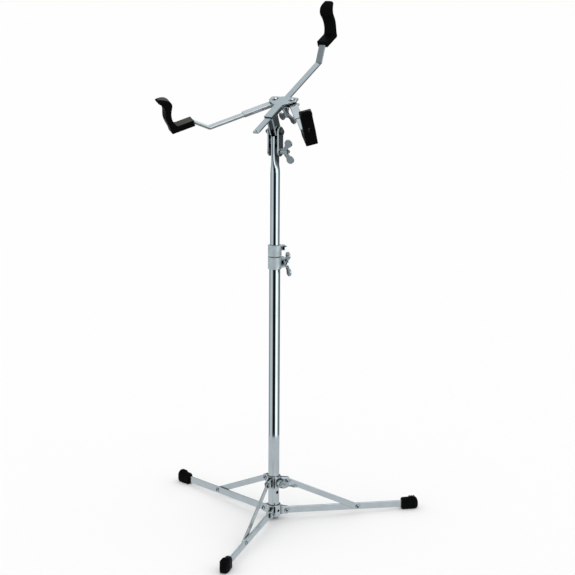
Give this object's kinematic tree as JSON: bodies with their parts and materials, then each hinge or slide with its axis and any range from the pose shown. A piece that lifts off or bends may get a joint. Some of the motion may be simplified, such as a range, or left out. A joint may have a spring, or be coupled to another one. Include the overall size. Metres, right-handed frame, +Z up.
{
  "type": "snare drum stand",
  "caption": "Tall chrome snare drum stand with a flat folding tripod, telescoping column, tilter and a basket of adjustable arms with rubber grips.",
  "frame": {"origin": "on the floor on the column's axis", "axes": "+Z up along the column, +X along the tilter's bolts, +Y away from the swinging arms, where the sliding arm rises"},
  "size_m": [0.522, 0.5373, 1.0282],
  "materials": {
    "chrome": "bright chrome plate",
    "rubber": "matte black moulded rubber",
    "nylon": "black nylon"
  },
  "bodies": {
    "root": {"lower_tube": "chrome", "tube_end_plug": "nylon", "base_hub": "chrome", "hub_rivets": "chrome", "receiver_clamp": "chrome", "receiver_bolt": "chrome"},
    "collar": {"brace_collar": "chrome", "collar_rivets": "chrome"},
    "collar_screw": {"collar_wing_screw": "chrome"},
    "receiver_nut": {"receiver_wing_nut": "chrome"},
    "bush": {"guide_bush": "nylon"},
    "mast": {"upper_tube": "chrome"},
    "memory": {"memory_lock": "chrome"},
    "memory_screw": {"memory_key_screw": "chrome"},
    "neck": {"neck_plate_left": "chrome", "neck_plate_right": "chrome", "neck_washers": "nylon", "neck_bolt": "chrome", "tilt_bolt": "chrome", "tilt_nut": "chrome", "tilt_washers": "nylon"},
    "neck_nut": {"neck_wing_nut": "chrome"},
    "basket": {"basket_bracket": "chrome", "arm_rivets": "chrome", "arm_washers": "nylon", "tilt_spacer": "chrome"},
    "lock_screw": {"arm_lock_screw": "chrome"},
    "sliding": {"sliding_arm": "chrome", "sliding_arm_grip": "rubber", "sliding_arm_grip_pin": "chrome"},
    "arm_left": {"arm_channel_left": "chrome", "arm_bar_left": "chrome", "arm_grip_left": "rubber", "arm_grip_pin_left": "chrome"},
    "arm_right": {"arm_channel_right": "chrome", "arm_bar_right": "chrome", "arm_grip_right": "rubber", "arm_grip_pin_right": "chrome"},
    "leg_1": {"leg_1": "chrome", "foot_1": "rubber", "leg_rivet_1": "chrome"},
    "brace_1": {"brace_1": "chrome", "brace_rivet_1": "chrome"},
    "leg_2": {"leg_2": "chrome", "foot_2": "rubber", "leg_rivet_2": "chrome"},
    "brace_2": {"brace_2": "chrome", "brace_rivet_2": "chrome"},
    "leg_3": {"leg_3": "chrome", "foot_3": "rubber", "leg_rivet_3": "chrome"},
    "brace_3": {"brace_3": "chrome", "brace_rivet_3": "chrome"}
  },
  "joints": [
    {"name": "leg_1_fold", "type": "hinge", "parent": "root", "child": "leg_1", "pos_m": [0.01962, 0.01706, 0.0165], "axis": [0.6561, -0.7547, 0], "range_deg": [0, 84.21]},
    {"name": "leg_2_fold", "type": "hinge", "parent": "root", "child": "leg_2", "pos_m": [-0.02458, 0.00847, 0.0165], "axis": [0.3256, 0.9455, 0], "range_deg": [0, 84.22]},
    {"name": "leg_3_fold", "type": "hinge", "parent": "root", "child": "leg_3", "pos_m": [0.00496, -0.02552, 0.0165], "axis": [-0.9816, -0.1908, 0], "range_deg": [0, 84.22]},
    {"name": "collar_slide", "type": "slide", "parent": "root", "child": "collar", "axis": [0, 0, 1], "range_m": [0, 0.24638]},
    {"name": "brace_1_turn", "type": "hinge", "parent": "collar", "child": "brace_1", "pos_m": [0.01962, 0.01706, 0.0805], "axis": [-0.6561, 0.7547, 0], "range_deg": [0, 59.37]},
    {"name": "brace_2_turn", "type": "hinge", "parent": "collar", "child": "brace_2", "pos_m": [-0.02458, 0.00847, 0.0805], "axis": [-0.3256, -0.9455, 0], "range_deg": [0, 59.37]},
    {"name": "brace_3_turn", "type": "hinge", "parent": "collar", "child": "brace_3", "pos_m": [0.00496, -0.02552, 0.0805], "axis": [0.9816, 0.1908, 0], "range_deg": [0, 59.37]},
    {"name": "collar_screw_turn", "type": "hinge", "parent": "collar", "child": "collar_screw", "pos_m": [0, 0, 0.0795], "axis": [0.9455, -0.3256, 0], "continuous": true},
    {"name": "receiver_nut_turn", "type": "hinge", "parent": "root", "child": "receiver_nut", "pos_m": [0.01032, 0.01474, 0.53], "axis": [0.8192, -0.5736, 0], "continuous": true},
    {"name": "mast_swivel", "type": "hinge", "parent": "root", "child": "bush", "pos_m": [0, 0, 0.542], "axis": [0, 0, 1], "continuous": true},
    {"name": "mast_height", "type": "slide", "parent": "bush", "child": "mast", "axis": [0, 0, 1], "range_m": [0, 0.18]},
    {"name": "memory_lock_height", "type": "slide", "parent": "mast", "child": "memory", "axis": [0, 0, 1], "range_m": [0, 0.1]},
    {"name": "memory_key_turn", "type": "hinge", "parent": "memory", "child": "memory_screw", "pos_m": [0.01032, 0.01474, 0.55885], "axis": [0.8192, -0.5736, 0], "continuous": true},
    {"name": "neck_tilt", "type": "hinge", "parent": "mast", "child": "neck", "pos_m": [0, 0, 0.75], "axis": [1, 0, 0], "range_deg": [-30, 30]},
    {"name": "neck_nut_turn", "type": "hinge", "parent": "neck", "child": "neck_nut", "pos_m": [0, 0, 0.75], "axis": [1, 0, 0], "continuous": true},
    {"name": "basket_tilt", "type": "hinge", "parent": "neck", "child": "basket", "pos_m": [0, 0, 0.787], "axis": [1, 0, 0], "range_deg": [-35, 35]},
    {"name": "lock_screw_turn", "type": "hinge", "parent": "basket", "child": "lock_screw", "pos_m": [0, 0.03388, 0.84213], "axis": [0, 0.4099, -0.9121], "continuous": true},
    {"name": "sliding_arm_reach", "type": "slide", "parent": "basket", "child": "sliding", "axis": [0, 0.9121, 0.4099], "range_m": [-0.09, 0.045]},
    {"name": "right_arm_swing", "type": "hinge", "parent": "basket", "child": "arm_right", "pos_m": [0.0183, 0.03388, 0.84213], "axis": [0, 0.4099, -0.9121], "range_deg": [-53, 29]},
    {"name": "left_arm_swing", "type": "hinge", "parent": "basket", "child": "arm_left", "pos_m": [-0.0183, 0.03388, 0.84213], "axis": [0, -0.4099, 0.9121], "range_deg": [-49.5, 32.5]}
  ],
  "couplings": [
    {"joint": "leg_2_fold", "follows": "leg_1_fold", "ratio": 1},
    {"joint": "leg_3_fold", "follows": "leg_1_fold", "ratio": 1},
    {"joint": "collar_slide", "follows": "leg_1_fold", "m_per_rad": 0.16757},
    {"joint": "brace_1_turn", "follows": "leg_1_fold", "ratio": 0.70491},
    {"joint": "brace_2_turn", "follows": "leg_1_fold", "ratio": 0.70491},
    {"joint": "brace_3_turn", "follows": "leg_1_fold", "ratio": 0.70491}
  ]
}
